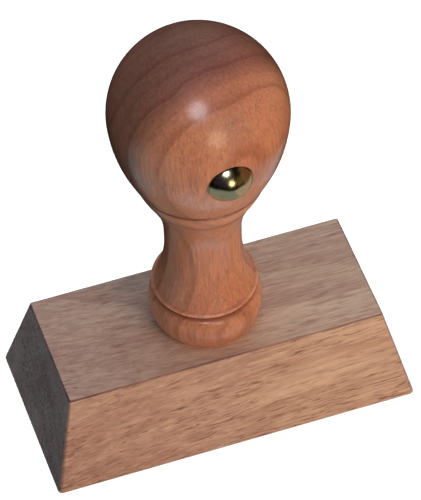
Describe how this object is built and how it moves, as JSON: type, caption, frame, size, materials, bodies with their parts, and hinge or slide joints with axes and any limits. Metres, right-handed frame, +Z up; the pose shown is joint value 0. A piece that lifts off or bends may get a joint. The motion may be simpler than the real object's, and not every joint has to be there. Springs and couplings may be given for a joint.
{
  "type": "rubber stamp",
  "caption": "Hand stamp with a turned wooden knob handle, a sloping wooden block, a domed brass tack marking the front and a cushioned rubber printing die.",
  "frame": {"origin": "centre of the printing face, on the handle's turning axis, at the level the stamp stands on", "axes": "+Z up through the handle, +X along the block's length, -Y to the front, which the tack marks"},
  "size_m": [0.0704, 0.0364, 0.0962],
  "materials": {
    "lacquered_beech": "beech, stained orange-brown, gloss lacquer",
    "beech": "sanded beech with a thin matt sealer",
    "brass": "polished",
    "steel": "zinc plated",
    "tape": "double-sided adhesive film",
    "foam": "fine-cell cushion foam",
    "rubber": "moulded natural rubber, matt"
  },
  "bodies": {
    "stamp": {"handle": "lacquered_beech", "mount_block": "beech", "tack_cap": "brass", "tack_nail": "steel", "handle_screw": "steel", "upper_tape": "tape", "foam_cushion": "foam"},
    "print_layer": {"rubber_die": "rubber", "lower_tape": "tape"}
  },
  "joints": [
    {"name": "die_press", "type": "slide", "parent": "stamp", "child": "print_layer", "axis": [0, 0, 1], "range_m": [0, 0.0008], "stiffness_N_per_m": 600, "springref_m": -0.0012, "deforming": ["foam_cushion"]}
  ]
}
